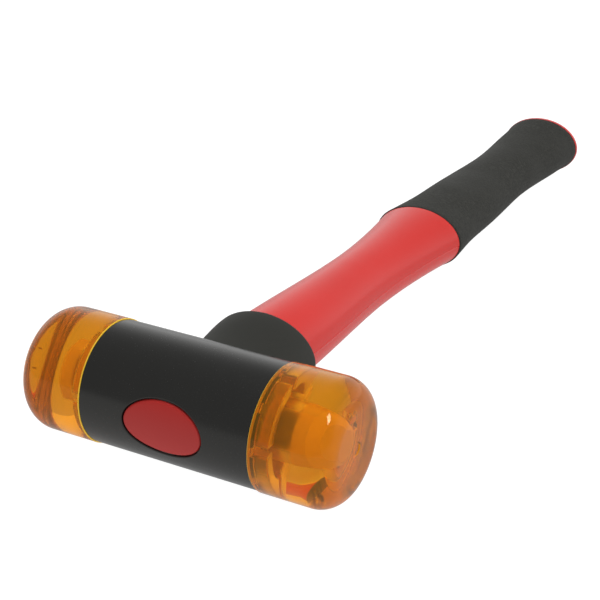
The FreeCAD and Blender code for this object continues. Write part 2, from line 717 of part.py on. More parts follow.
def make_handle_core(doc):
    """The fibreglass rod that runs from the eye almost to the butt."""
    body = new_body(doc, "handle_core")
    front = f"({TUBE_RADIUS} - sizes.tenon_flush - sizes.tenon_skin)"
    section = new_sketch(body, "section", "XZ_Plane", front)
    add_oval(doc, section, "section", "sizes.core_width", "sizes.core_height")
    length = f"{front} + {GRIP_END} - sizes.core_stop"
    pad(body, "rod", section, length, reverse=True)
    return body


def make_handle_jacket(doc):
    """The red moulding: a tenon through the eye, the bare shaft, and the part under the grip."""
    body = new_body(doc, "handle_jacket")
    front = f"({TUBE_RADIUS} - sizes.tenon_flush)"
    tenon = new_sketch(body, "tenon", "XZ_Plane", front)
    add_oval(doc, tenon, "tenon", TENON_WIDTH, TENON_HEIGHT)
    length = f"{front} + sizes.collar_reach + sizes.bond_gap + sizes.overrun"
    pad(body, "tenon_block", tenon, length, reverse=True)
    round_tenon_end(doc, body)
    shaft_start = "(sizes.collar_reach + sizes.bond_gap)"
    shaft_span = "(sizes.shaft_length - sizes.bond_gap)"
    shaft = section_sketches(doc, body, "shaft", shaft_start, shaft_span)
    loft(body, "shaft_loft", shaft)
    under_grip = section_sketches(
        doc, body, "grip", GRIP_START, "sizes.grip_length", "sizes.grip_wall + sizes.bond_gap"
    )
    loft(body, "under_grip_loft", under_grip)
    hole = new_sketch(body, "core_hole", "XZ_Plane", f"-{GRIP_END}")
    add_oval(
        doc, hole, "hole",
        "sizes.core_width + 2 * sizes.bond_gap", "sizes.core_height + 2 * sizes.bond_gap",
    )
    depth = f"{GRIP_END} + {front} - sizes.tenon_skin + sizes.bond_gap"
    pocket(body, "core_cut", hole, depth, reverse=True)
    return body


def round_tenon_end(doc, body):
    """Shape the tenon's front to the tube's own curve and round its rim."""
    reach = value_of(doc, f"{TUBE_RADIUS} - sizes.tenon_flush")
    half = math.radians(TENON_TRIM_ANGLE)
    rise = reach * math.sin(half)
    beyond = 2 * reach
    upper_end = Vector(-reach * math.cos(half), rise, 0)
    lower_end = Vector(-reach * math.cos(half), -rise, 0)
    upper_far = Vector(-beyond, rise, 0)
    lower_far = Vector(-beyond, -rise, 0)
    sketch = new_sketch(body, "tenon_end", "YZ_Plane")
    circle = Part.Circle(Vector(), Vector(0, 0, 1), reach)
    arc = sketch.addGeometry(Part.ArcOfCircle(circle, math.pi - half, math.pi + half), False)
    top = sketch.addGeometry(Part.LineSegment(upper_end, upper_far), False)
    side = sketch.addGeometry(Part.LineSegment(upper_far, lower_far), False)
    bottom = sketch.addGeometry(Part.LineSegment(lower_far, lower_end), False)
    for first, first_point, second, second_point in (
        (arc, 1, top, 1),
        (top, 2, side, 1),
        (side, 2, bottom, 1),
        (bottom, 2, arc, 2),
        (arc, 3, -1, 1),
    ):
        sketch.addConstraint(
            Sketcher.Constraint("Coincident", first, first_point, second, second_point)
        )
    sketch.addConstraint(Sketcher.Constraint("Horizontal", top))
    sketch.addConstraint(Sketcher.Constraint("Horizontal", bottom))
    sketch.addConstraint(Sketcher.Constraint("Vertical", side))
    index = sketch.addConstraint(Sketcher.Constraint("Radius", arc, reach))
    bind(sketch, index, "radius", f"{TUBE_RADIUS} - sizes.tenon_flush")
    rise_expression = f"{TUBE_RADIUS} * sin({TENON_TRIM_ANGLE} deg)"
    index = sketch.addConstraint(Sketcher.Constraint("DistanceY", -1, 1, top, 1, rise))
    bind(sketch, index, "rise", rise_expression)
    index = sketch.addConstraint(Sketcher.Constraint("DistanceY", bottom, 2, -1, 1, rise))
    bind(sketch, index, "drop", rise_expression)
    index = sketch.addConstraint(Sketcher.Constraint("DistanceX", side, 1, -1, 1, beyond))
    bind(sketch, index, "beyond", f"2 * {TUBE_RADIUS}")
    pocket(body, "tenon_end_cut", sketch)

    def on_front_rim(edge):
        on_curve = abs(distance_from_axis(edge) - reach) < TOLERANCE
        return on_curve and edge.BoundBox.YMax < 0

    round_edges(body, "tenon_rim", on_front_rim, "sizes.tenon_edge")


def make_neck_collar(doc):
    """The rubber collar behind the head, hollowed at the front to sit on the tube."""
    body = new_body(doc, "neck_collar")
    span = "(sizes.collar_reach - sizes.collar_start)"
    sections = section_sketches(doc, body, "collar", "sizes.collar_start", span)
    loft(body, "outside", sections)
    saddle = new_sketch(body, "saddle", "YZ_Plane")
    add_circle(doc, saddle, "saddle", "0", "0", f"{TUBE_RADIUS} + sizes.bond_gap")
    pocket(body, "saddle_cut", saddle)
    hole = new_sketch(body, "hole", "XZ_Plane")
    add_oval(
        doc, hole, "hole",
        f"{TENON_WIDTH} + 2 * sizes.bond_gap", f"{TENON_HEIGHT} + 2 * sizes.bond_gap",
    )
    pocket(body, "way_through", hole)
    rear = value_of(doc, "sizes.collar_reach")
    widest = value_of(doc, f"{TENON_WIDTH} / 2 + 1")

    def on_rear_rim(edge):
        return lies_across_handle(edge, rear) and edge.BoundBox.XMax > widest

    round_edges(body, "rear_rim", on_rear_rim, "sizes.collar_edge")
    return body


def make_grip_sleeve(doc):
    """The soft grip over the rear of the handle."""
    body = new_body(doc, "grip_sleeve")
    outside = section_sketches(doc, body, "grip", GRIP_START, "sizes.grip_length")
    loft(body, "outside", outside)
    inside = section_sketches(
        doc, body, "grip", GRIP_START, "sizes.grip_length", "sizes.grip_wall"
    )
    loft(body, "inside", inside, "PartDesign::SubtractiveLoft")
    front = value_of(doc, GRIP_START)
    widest = value_of(doc, "sizes.grip_0_width / 2 - sizes.grip_wall / 2")

    def on_front_rim(edge):
        return lies_across_handle(edge, front) and edge.BoundBox.XMax > widest

    round_edges(body, "front_rim", on_front_rim, "sizes.grip_rim")
    return body


def make_butt_cap(doc):
    """The red cap that closes the butt, with a spigot in the handle's end."""
    body = new_body(doc, "butt_cap")
    last = len(GRIP_SECTIONS) - 1
    rim = new_sketch(body, "rim", "XZ_Plane", f"-({GRIP_END} + sizes.bond_gap)")
    add_oval(
        doc, rim, "rim",
        f"sizes.grip_{last}_width + 2 * sizes.cap_overhang",
        f"sizes.grip_{last}_height + 2 * sizes.cap_overhang",
    )
    pad(body, "plate", rim, "sizes.cap_thickness - sizes.bond_gap", reverse=True)
    rear = value_of(doc, HANDLE_END)
    round_edges(
        body, "rear_rim", lambda edge: lies_across_handle(edge, rear), "sizes.cap_edge"
    )
    root = "(sizes.bond_gap + sizes.overrun)"
    spigot = new_sketch(body, "spigot", "XZ_Plane", f"-({GRIP_END} + {root})")
    add_oval(doc, spigot, "spigot", "sizes.core_width", "sizes.core_height")
    pad(body, "spigot_block", spigot, f"sizes.cap_spigot + {root}")
    return body


def write_parts(doc, pieces):
    """Check every object, then write each piece to its own file."""
    doc.recompute()
    for item in doc.Objects:
        if {"Invalid", "Error"} & set(item.State):
            raise RuntimeError(f"{item.Label} did not compute: {item.State}")
    for piece in pieces:
        if piece.Shape.isNull() or not piece.Shape.isValid():
            raise RuntimeError(f"{piece.Label} has no valid shape")
    os.makedirs("parts", exist_ok=True)
    for piece in pieces:
        piece.Shape.exportStep(f"parts/{piece.Label}.step")
        box = piece.Shape.BoundBox
        print(f"{piece.Label}: {box.XLength:.1f} x {box.YLength:.1f} x {box.ZLength:.1f} mm")


def main():
    doc = FreeCAD.newDocument(MODEL_NAME)
    make_sheet(doc)
    pieces = [make_head_tube(doc), make_eye_sleeve(doc), make_eye_adhesive(doc)]
    for side, turn in SIDES.items():
        pieces.append(make_end_plug(doc, side, turn))
        pieces.append(make_plug_seal(doc, side, turn))
        pieces.append(make_retaining_ring(doc, side, turn))
        pieces.append(make_face_stud(doc, side, turn))
        pieces.append(make_face_washer(doc, side, turn))
        pieces.append(make_face(doc, side, turn))
    pieces.append(make_shot_charge(doc))
    pieces.append(make_handle_core(doc))
    pieces.append(make_handle_jacket(doc))
    pieces.append(make_neck_collar(doc))
    pieces.append(make_grip_sleeve(doc))
    pieces.append(make_butt_cap(doc))
    write_parts(doc, pieces)


main()
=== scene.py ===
"""Finishes and finely modelled pieces of a dead blow mallet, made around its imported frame.

Laid out as an add-on. One operator makes each piece or group of like pieces, one finishes the
pieces that keep their own mesh, and one sets the stage. Everything is in metres, in the frame's
own axes: X along the head, Y along the handle towards the butt, Z up.
"""

import math

import bmesh
import bpy
import numpy as np
from mathutils import Matrix, Vector


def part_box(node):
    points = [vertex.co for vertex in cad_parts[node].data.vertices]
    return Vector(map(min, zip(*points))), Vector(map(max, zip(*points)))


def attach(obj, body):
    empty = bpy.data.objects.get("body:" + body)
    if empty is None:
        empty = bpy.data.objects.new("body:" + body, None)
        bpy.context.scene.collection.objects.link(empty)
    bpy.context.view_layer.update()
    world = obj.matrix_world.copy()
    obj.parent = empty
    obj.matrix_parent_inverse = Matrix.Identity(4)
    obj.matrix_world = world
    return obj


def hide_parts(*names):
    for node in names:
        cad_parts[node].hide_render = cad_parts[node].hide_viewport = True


bl_info = {
    "name": "Dead Blow Mallet Finish",
    "version": (1, 0, 0),
    "blender": (4, 5, 0),
    "location": "3D View > Sidebar > Mallet",
    "description": "Finishes and finely modelled pieces of a dead blow mallet",
    "category": "Object",
}

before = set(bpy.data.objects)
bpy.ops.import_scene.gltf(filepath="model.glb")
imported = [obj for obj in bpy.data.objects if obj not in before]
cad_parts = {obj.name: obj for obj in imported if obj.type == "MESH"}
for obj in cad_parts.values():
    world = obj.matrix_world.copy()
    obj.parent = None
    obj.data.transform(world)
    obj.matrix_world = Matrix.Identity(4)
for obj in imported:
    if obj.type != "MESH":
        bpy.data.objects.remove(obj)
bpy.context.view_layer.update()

TUBE_LOW, TUBE_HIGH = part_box("head_tube")
HEAD_CENTRE = (TUBE_LOW + TUBE_HIGH) / 2
TUBE_RADIUS = (TUBE_HIGH.z - TUBE_LOW.z) / 2
ALONG_HEAD = Vector((1.0, 0.0, 0.0))
HALF_TURN = Matrix.Rotation(math.pi, 4, "Z")
SMOOTH_ANGLE = math.radians(32.0)
MERGE_DISTANCE = 1e-6
SEARCH = 1e-5               # how near a vertex has to be to the place looked for
JOINT_GAP = 0.00003         # gap between bonded pieces
SLOT_COUNT = 8
POCKET_COUNT = 4
TURNED_STEPS = 128          # faces round a striking face
STUD_STEPS = 96             # faces round a stud
CORNER_STEPS = 28           # faces across the striking edge
EDGE_STEPS = 4              # faces across a small edge
ARC_STEPS = 20              # faces along a slot's curve
END_STEPS = 8               # faces across a slot's round end
END_SHARE = 0.49            # rounding of a slot's end, as a share of its width
RIM_STEPS = 5               # faces across a rounded rim
OVAL_VERTICES = 96
GRIP_VERTICES = 128
SHAFT_STATIONS = 44
GRIP_STATIONS = 50
FRONT_RINGS = (0.15, 0.4, 0.65, 0.85)   # ovals inside the handle's front end
HEXAGON = 6
THREAD_STEPS = 48           # faces in one turn of the thread
THREAD_BASE = 0.84          # width of the ridge at its root, as a share of the pitch
THREAD_CREST = 0.18         # width of the ridge at its crest, as a share of its base
PAINT_WRAP = 0.0006         # how far paint wraps onto the tube's ends
PAINT_LIFT = 0.0001         # how near the tube's end the bare steel starts
BLUR = 0.0002               # how soft the border of a zone is
FROST_SPARE = 0.0003        # frosting past the pockets' outside
FROST_PAST_BORE = 0.0009    # frosting past the bore's blind end
STUD_REACH = 0.010          # how far the stud goes into a face
CAMERA_PLACE = (0.249294, -0.546557, 0.267754)
CAMERA_AIM = (-0.43403, 0.80369, -0.40706)
CAMERA_ROLL = math.radians(1.154)
CAMERA_LENS = 89.71
WHITE = (1.0, 1.0, 1.0, 1.0)


# ---------------------------------------------------------------- modelling by hand

def clear_selection():
    if bpy.context.object and bpy.context.object.mode != "OBJECT":
        bpy.ops.object.mode_set(mode="OBJECT")
    bpy.ops.object.select_all(action="DESELECT")


def pick(piece):
    """Makes a piece the only selected and the active one."""
    clear_selection()
    piece.select_set(True)
    bpy.context.view_layer.objects.active = piece


def name_new(name):
    """Names the primitive just added and puts its place into its mesh."""
    piece = bpy.context.object
    piece.name = name
    piece.data.name = name
    bpy.ops.object.transform_apply(location=True, rotation=True, scale=True)
    return piece


class Editing:
    """Edit mode on one piece, with nothing selected at the start."""

    def __init__(self, piece):
        self.piece = piece

    def __enter__(self):
        pick(self.piece)
        bpy.ops.object.mode_set(mode="EDIT")
        bpy.ops.mesh.select_mode(type="VERT")
        bpy.ops.mesh.select_all(action="DESELECT")
        return self

    def __exit__(self, *_):
        bpy.ops.object.mode_set(mode="OBJECT")

    def select(self, kind, test):
        """Selects only the vertices, edges or faces that a test picks."""
        bpy.ops.mesh.select_mode(type=kind)
        bpy.ops.mesh.select_all(action="DESELECT")
        mesh = bmesh.from_edit_mesh(self.piece.data)
        parts = {"VERT": mesh.verts, "EDGE": mesh.edges, "FACE": mesh.faces}[kind]
        found = 0
        for part in parts:
            if test(part):
                part.select_set(True)
                found += 1
        if not found:
            raise RuntimeError(f"{self.piece.name}: nothing to select")
        mesh.select_flush_mode()
        bmesh.update_edit_mesh(self.piece.data)


def resize(value, centre):
    bpy.ops.transform.resize(value=value, center_override=centre)


def extrude(offset):
    bpy.ops.mesh.extrude_region_move(TRANSFORM_OT_translate={"value": offset})


def bevel(width, segments):
    bpy.ops.mesh.bevel(
        offset=width, segments=segments, affect="EDGES", offset_type="OFFSET",
        clamp_overlap=True, profile=0.5,
    )


def apply_modifier(piece, kind, **settings):
    pick(piece)
    modifier = piece.modifiers.new(kind.lower(), kind)
    for name, setting in settings.items():
        setattr(modifier, name, setting)
    bpy.ops.object.modifier_apply(modifier=modifier.name)


def carve(piece, tool, operation="DIFFERENCE"):
    """Cuts a tool out of a piece, or joins or intersects them, and uses the tool up."""
    apply_modifier(piece, "BOOLEAN", object=tool, operation=operation, solver="EXACT")
    bpy.data.objects.remove(tool)
    clean(piece)


def clean(piece):
    """Merges doubled vertices and turns every face outwards."""
    with Editing(piece):
        bpy.ops.mesh.select_all(action="SELECT")
        bpy.ops.mesh.remove_doubles(threshold=MERGE_DISTANCE)
        bpy.ops.mesh.dissolve_degenerate(threshold=MERGE_DISTANCE)
        bpy.ops.mesh.normals_make_consistent(inside=False)


def twin(piece, name, turn=None):
    """A copy with its own mesh, turned about the head's centre."""
    pick(piece)
    bpy.ops.object.duplicate()
    copy = bpy.context.object
    copy.name = name
    copy.data.name = name
    if turn:
        shift = Matrix.Translation(HEAD_CENTRE)
        copy.data.transform(shift @ turn @ shift.inverted())
    return copy


def complete(piece, body, slot, node, context):
    """Smooths a finished piece, gives it its body and finish, and hides the node it stands for."""
    pick(piece)
    bpy.ops.object.shade_smooth_by_angle(angle=SMOOTH_ANGLE)
    piece.data.materials.clear()
    piece.data.materials.append(finish_for(context, slot))
    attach(piece, body)
    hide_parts(node)


class Outline:
    """The outline of a node across the handle, measured from its own mesh."""

    def __init__(self, node):
        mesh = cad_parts[node].data
        points = np.empty(len(mesh.vertices) * 3, dtype=np.float32)
        mesh.vertices.foreach_get("co", points)
        ends = np.empty(len(mesh.edges) * 2, dtype=np.int32)
        mesh.edges.foreach_get("vertices", ends)
        ends = points.reshape(-1, 3)[ends.reshape(-1, 2)].astype(float)
        self.first, self.second = ends[:, 0], ends[:, 1]

    def half_sizes(self, place):
        """Half the width and height of the outline in the plane at a place along the handle."""
        before = self.first[:, 1] - place
        after = self.second[:, 1] - place
        crossing = (before * after <= 0) & (before != after)
        share = (before / np.where(crossing, before - after, 1.0))[crossing, None]
        points = self.first[crossing] * (1 - share) + self.second[crossing] * share
        reach = np.abs(points - np.array(HEAD_CENTRE)).max(axis=0)
        return float(reach[0]), float(reach[2])


def oval_solid(name, stations, vertices=OVAL_VERTICES):
    """A closed solid through ovals along the handle: (place, half width, half height) each."""
    clear_selection()
    place, half_width, half_height = stations[0]
    bpy.ops.mesh.primitive_circle_add(
        vertices=vertices, radius=1.0, fill_type="NGON",
        location=(HEAD_CENTRE.x, place, HEAD_CENTRE.z), rotation=(math.pi / 2, 0.0, 0.0),
    )
    solid = name_new(name)
    with Editing(solid):
        bpy.ops.mesh.select_all(action="SELECT")
        resize((half_width, 1.0, half_height), (HEAD_CENTRE.x, place, HEAD_CENTRE.z))
        for next_place, next_width, next_height in stations[1:]:
            extrude((0.0, next_place - place, 0.0))
            grown = (next_width / half_width, 1.0, next_height / half_height)
            resize(grown, (HEAD_CENTRE.x, next_place, HEAD_CENTRE.z))
            place, half_width, half_height = next_place, next_width, next_height
    clean(solid)
    return solid


def turned_solid(name, outline, steps=TURNED_STEPS):
    """A solid of revolution about the head's axis, from (along, radius) points."""
    clear_selection()
    bpy.ops.mesh.primitive_plane_add(size=0.001, location=HEAD_CENTRE)
    solid = name_new(name)
    with Editing(solid):
        bpy.ops.mesh.select_all(action="SELECT")
        bpy.ops.mesh.merge(type="CENTER")
        along, radius = outline[0]
        bpy.ops.transform.translate(value=(along, radius, 0.0))
        for next_along, next_radius in outline[1:]:
            bpy.ops.mesh.extrude_vertices_move(
                TRANSFORM_OT_translate={"value": (next_along - along, next_radius - radius, 0.0)}
            )
            along, radius = next_along, next_radius
        bpy.ops.mesh.select_all(action="SELECT")
        bpy.ops.mesh.spin(
            steps=steps, angle=2 * math.pi, center=HEAD_CENTRE, axis=ALONG_HEAD, dupli=False
        )
    clean(solid)
    return solid


def arc(centre, radius, start, end, steps):
    """Points of an arc in the (along, radius) plane, angles in degrees."""
    points = []
    for step in range(steps + 1):
        angle = math.radians(start + (end - start) * step / steps)
        points.append((centre[0] + radius * math.cos(angle), centre[1] + radius * math.sin(angle)))
    return points


# ---------------------------------------------------------------- shader graphs

class Signal:
    """An output of a shader node that takes part in Python arithmetic."""

    def __init__(self, graph, socket):
        self.graph = graph
        self.socket = socket

    def math(self, operation, first, second):
        return self.graph.add("ShaderNodeMath", {"operation": operation}, {0: first, 1: second})

    def __add__(self, other):
        return self.math("ADD", self, other)

    def __radd__(self, other):
        return self.math("ADD", other, self)

    def __sub__(self, other):
        return self.math("SUBTRACT", self, other)

    def __rsub__(self, other):
        return self.math("SUBTRACT", other, self)

    def __mul__(self, other):
        return self.math("MULTIPLY", self, other)

    def __rmul__(self, other):
        return self.math("MULTIPLY", other, self)


class Graph:
    """The nodes of one material or of the world."""

    def __init__(self, tree):
        self.tree = tree
        self.tree.nodes.clear()

    def add(self, kind, settings=None, values=None, output=0):
        """Adds a node: its settings first, then the values or links of its sockets."""
        node = self.tree.nodes.new(kind)
        for name, setting in (settings or {}).items():
            if name == "stops":
                self.set_stops(node.color_ramp, setting)
            else:
                setattr(node, name, setting)
        for name, value in (values or {}).items():
            if isinstance(value, Signal):
                self.tree.links.new(value.socket, node.inputs[name])
            else:
                node.inputs[name].default_value = value
        return Signal(self, node.outputs[output]) if node.outputs else None

    @staticmethod
    def set_stops(ramp, stops):
        while len(ramp.elements) < len(stops):
            ramp.elements.new(1.0)
        for element, (place, shade) in zip(ramp.elements, stops):
            element.position = place
            element.color = shade

    def place(self):
        """The object coordinates, which are the frame's own, about the head's centre."""
        raw = self.add("ShaderNodeTexCoord", output="Object")
        settings = {"operation": "SUBTRACT"}
        return self.add("ShaderNodeVectorMath", settings, {0: raw, 1: HEAD_CENTRE})

    def stretched(self, scale):
        """The place, scaled along each axis."""
        return self.add(
            "ShaderNodeVectorMath", {"operation": "MULTIPLY"}, {0: self.place(), 1: scale}
        )

    def from_axis(self):
        """Distance from the head's axis."""
        across = self.stretched((0.0, 1.0, 1.0))
        return self.add("ShaderNodeVectorMath", {"operation": "LENGTH"}, {0: across}, output="Value")

    def from_middle(self):
        """Distance along the head from its middle, the same at both ends."""
        return self.add("ShaderNodeMath", {"operation": "ABSOLUTE"}, {0: self.axis("X")})

    def axis(self, name):
        """The place along one axis, in metres."""
        return self.add("ShaderNodeSeparateXYZ", values={0: self.place()}, output=name)

    def noise(self, scale, detail=3.0, roughness=0.5, vector=None):
        return self.add("ShaderNodeTexNoise", {"noise_dimensions": "3D"}, {
            "Vector": vector or self.place(), "Scale": scale, "Detail": detail,
            "Roughness": roughness,
        })

    def cells(self, scale, vector=None):
        """Distance to the nearest of a scatter of points."""
        return self.add(
            "ShaderNodeTexVoronoi", {"feature": "F1"},
            {"Vector": vector or self.place(), "Scale": scale}, output="Distance",
        )

    def between(self, value, low, high, start=0.0, end=1.0):
        """A smooth step of a value from low to high, running from start to end."""
        return self.add("ShaderNodeMapRange", {"interpolation_type": "SMOOTHSTEP"}, {
            "Value": value, "From Min": low, "From Max": high, "To Min": start, "To Max": end,
        })

    def within(self, value, limit, blur=BLUR):
        """One up to a limit, fading to nothing over a blur past it."""
        return self.between(value, limit + blur, limit)

    def follow(self, noise, low, high):
        """A value from low to high that follows the middle of a noise."""
        return self.between(noise, 0.3, 0.7, low, high)

    def blend(self, factor, first, second):
        """A mix of two colours."""
        settings = {"data_type": "RGBA", "clamp_factor": True}
        return self.add("ShaderNodeMix", settings, {0: factor, 6: first, 7: second}, output=2)

    def bump(self, height, distance, strength):
        values = {"Height": height, "Distance": distance, "Strength": strength}
        return self.add("ShaderNodeBump", values=values)

    def principled(self, **values):
        named = {name.replace("_", " "): value for name, value in values.items()}
        return self.add("ShaderNodeBsdfPrincipled", values=named)

    def close(self, shader, volume=None):
        values = {"Surface": shader}
        if volume:
            values["Volume"] = volume
        self.add("ShaderNodeOutputMaterial", values=values)


def shade(base, factor):
    """A colour made lighter or darker."""
    return (base[0] * factor, base[1] * factor, base[2] * factor, 1.0)


def black_enamel(graph, colours):
    """Stoved black enamel: faint orange peel, dust in the paint, dulled a little by handling."""
    cloud = graph.noise(28.0, detail=4.0)
    peel = graph.noise(900.0, detail=2.0)
    dust = graph.between(graph.noise(2600.0, detail=1.0), 0.70, 0.80)
    base = graph.blend(cloud, shade(colours.enamel, 0.8), shade(colours.enamel, 1.2))
    painted = graph.blend(dust * 0.3, base, shade(colours.enamel, 5.0))
    end = TUBE_HIGH.x - HEAD_CENTRE.x - PAINT_LIFT
    bare = graph.between(graph.from_middle(), end - BLUR, end)
    bare = bare * graph.within(graph.from_axis(), TUBE_RADIUS - PAINT_WRAP)
    graph.close(graph.principled(
        Base_Color=graph.blend(bare, painted, shade(colours.bare_steel, 1.0)),
        Metallic=bare,
        Roughness=graph.follow(cloud, 0.20, 0.265) + dust * 0.1 + bare * 0.1,
        Normal=graph.bump(peel, 0.00002, 0.35),
        Specular_IOR_Level=0.6,
        Specular_Tint=(1.0, 0.99, 0.94, 1.0),
    ))


def zinc_plate(graph, colours):
    """Zinc plated steel with turning marks."""
    cloud = graph.noise(60.0, detail=4.0)
    marks = graph.noise(1.0, detail=3.0, vector=graph.stretched((9000.0, 500.0, 500.0)))
    graph.close(graph.principled(
        Base_Color=graph.blend(cloud, shade(colours.zinc, 0.75), shade(colours.zinc, 1.15)),
        Metallic=1.0,
        Roughness=graph.follow(cloud, 0.30, 0.44),
        Normal=graph.bump(marks, 0.00002, 0.3),
    ))


def black_oxide(graph, colours):
    """Oiled black oxide on steel."""
    cloud = graph.noise(240.0, detail=4.0)
    graph.close(graph.principled(
        Base_Color=graph.blend(cloud, shade(colours.oxide, 0.6), shade(colours.oxide, 1.5)),
        Metallic=0.7,
        Roughness=graph.follow(cloud, 0.35, 0.55),
        Normal=graph.bump(graph.noise(1500.0), 0.00002, 0.4),
    ))


def steel_ball(graph, colours):
    """Tumbled steel shot, each ball lightly scuffed."""
    scuff = graph.noise(700.0, detail=4.0)
    graph.close(graph.principled(
        Base_Color=graph.blend(scuff, shade(colours.zinc, 0.5), shade(colours.zinc, 1.3)),
        Metallic=1.0,
        Roughness=graph.follow(scuff, 0.22, 0.48),
        Normal=graph.bump(scuff, 0.00004, 0.4),
    ))


def cured_epoxy(graph, colours):
    """Dark cured adhesive with small voids."""
    voids = graph.between(graph.cells(900.0), 0.05, 0.25)
    graph.close(graph.principled(
        Base_Color=graph.blend(voids, shade(colours.enamel, 0.4), shade(colours.enamel, 2.0)),
        Roughness=graph.between(voids, 0.0, 1.0, 0.7, 0.4),
        Normal=graph.bump(voids, 0.00008, 0.5),
    ))


def seal_rubber(graph, colours):
    """Black nitrile rubber."""
    cloud = graph.noise(350.0, detail=4.0)
    graph.close(graph.principled(
        Base_Color=graph.blend(cloud, shade(colours.rubber, 0.6), shade(colours.rubber, 1.1)),
        Roughness=graph.follow(cloud, 0.5, 0.68),
        Normal=graph.bump(cloud, 0.00003, 0.4),
    ))


def amber_plastic(graph, colours):
    """Clear amber moulding, tinted right through.

    It is polished outside and frosted on its rear and where cores formed it. Its arc slots are
    painted near black, a painted shade for the light they trap. The bore's wall scatters more
    light past the end of the stud.
    """
    sizes = bpy.context.scene.mallet_sizes
    ripple = graph.noise(70.0, detail=2.0)
    radius = graph.from_axis()
    depth = graph.from_middle() - (TUBE_HIGH.x - HEAD_CENTRE.x)
    shallow = graph.within(depth, sizes.bore_depth + FROST_PAST_BORE, 5 * BLUR)
    cored = graph.within(radius, sizes.pocket_outer + FROST_SPARE, FROST_SPARE) * shallow
    bore = graph.within(radius, sizes.bore_radius + BLUR, 0.0007) * shallow
    past_stud = graph.between(depth, STUD_REACH, STUD_REACH + 0.0015, 0.15, 0.85)
    rear = graph.within(depth, BLUR)
    slot_start = sizes.slot_inner - BLUR / 2
    slotted = graph.between(radius, slot_start - BLUR, slot_start)
    slotted = slotted * graph.within(radius, sizes.slot_outer + BLUR / 2, BLUR / 2)
    # Painted shade: the arc slots are darkened near black, standing in for the light that they trap.
    painted_slot_shade = slotted * graph.within(depth, sizes.slot_depth + 2 * BLUR, 2 * BLUR)
    pockets = (cored - bore) * 0.2
    scatter = (bore * past_stud + rear * 0.9 + pockets) * (1 - painted_slot_shade)
    clear = tuple(colours.amber) + (1.0,)
    skin = graph.principled(
        # The skin's colour turns near black in the slots: painted shade.
        Base_Color=graph.blend(painted_slot_shade, clear, shade(colours.amber, 0.06)),
        Roughness=cored * 0.25 + 0.05,
        IOR=1.47,
        Transmission_Weight=0.90,
        Specular_Tint=(1.0, 0.80, 0.50, 1.0),
        Normal=graph.bump(ripple, 0.0001, 0.25),
    )
    frosted = graph.principled(Base_Color=(1.0, 0.64, 0.03, 1.0), Roughness=0.5)
    surface = graph.add("ShaderNodeMixShader", values={0: scatter, 1: skin, 2: frosted})
    inside = graph.add("ShaderNodeVolumeAbsorption", values={
        "Color": tuple(colours.amber_depth) + (1.0,), "Density": 12.0,
    })
    graph.close(surface, inside)


def glass_rod(graph, colours):
    """Pultruded fibreglass with its long strands."""
    strands = graph.noise(1.0, detail=4.0, vector=graph.stretched((2600.0, 40.0, 2600.0)))
    graph.close(graph.principled(
        Base_Color=graph.blend(strands, shade(colours.glass_fibre, 0.7), shade(colours.glass_fibre, 1.2)),
        Roughness=graph.follow(strands, 0.35, 0.6),
        Normal=graph.bump(strands, 0.00006, 0.6),
    ))


def red_moulding(graph, colours):
    """Glossy red moulding with flow clouds; the cut front end is rougher and has painted shade."""
    cloud = graph.noise(22.0, detail=3.0)
    peel = graph.noise(420.0, detail=2.0)
    # The front end, ahead of the head's axis: rougher as a cut end, and darker as painted shade.
    cut_end_and_shade = graph.between(graph.axis("Y"), 0.0, -0.015)
    base = graph.blend(cloud, shade(colours.red, 0.93), shade(colours.red, 1.07))
    graph.close(graph.principled(
        # Painted shade: the front end's red is darkened to 0.72 of the red.
        Base_Color=graph.blend(cut_end_and_shade, base, shade(colours.red, 0.72)),
        Roughness=graph.follow(cloud, 0.20, 0.265) + cut_end_and_shade * 0.28,
        Normal=graph.bump(peel, 0.00003, 0.3),
        Specular_IOR_Level=0.4,
    ))


def collar_rubber(graph, colours):
    """Smooth moulded black rubber."""
    cloud = graph.noise(40.0, detail=4.0)
    grain = graph.noise(2200.0, detail=2.0)
    graph.close(graph.principled(
        Base_Color=graph.blend(cloud, shade(colours.rubber, 0.85), shade(colours.rubber, 1.15)),
        Roughness=graph.follow(cloud, 0.58, 0.70),
        Normal=graph.bump(grain, 0.00003, 0.5),
        Specular_IOR_Level=0.4,
        Specular_Tint=(1.0, 1.0, 0.92, 1.0),
    ))


def grip_rubber(graph, colours):
    """Soft grip with a fine leathery grain, rubbed paler on its high spots."""
    cloud = graph.noise(30.0, detail=4.0)
    grain = graph.cells(1150.0)
    mottle = graph.noise(650.0, detail=3.0)
    rubbed = graph.between(mottle, 0.52, 0.68) * graph.between(cloud, 0.35, 0.65)
    base = graph.blend(graph.between(grain, 0.1, 0.6), shade(colours.rubber, 0.6),
                       shade(colours.rubber, 1.15))
    graph.close(graph.principled(
        Base_Color=graph.blend(rubbed * 0.5, base, shade(colours.rubber, 2.2)),
        Roughness=graph.follow(cloud, 0.62, 0.76),
        Normal=graph.bump(grain + mottle * 0.5, 0.00012, 0.6),
        Specular_IOR_Level=0.35,
        Specular_Tint=(1.0, 1.0, 0.92, 1.0),
    ))


FINISHES = {
    "black_paint": black_enamel,
    "zinc_steel": zinc_plate,
    "spring_steel": black_oxide,
    "black_oxide": black_oxide,
    "steel_shot": steel_ball,
    "epoxy": cured_epoxy,
    "seal_rubber": seal_rubber,
    "clear_amber": amber_plastic,
    "fibreglass": glass_rod,
    "red_plastic": red_moulding,
    "collar_rubber": collar_rubber,
    "grip_rubber": grip_rubber,
}


def finish_for(context, slot):
    """The finish of a material slot, made the first time it is asked for."""
    maker = FINISHES[slot]
    name = f"{maker.__name__}_finish"
    material = bpy.data.materials.get(name)
    if material is None:
        material = bpy.data.materials.new(name)
        material.use_nodes = True
        maker(Graph(material.node_tree), context.scene.mallet_colours)
    return material


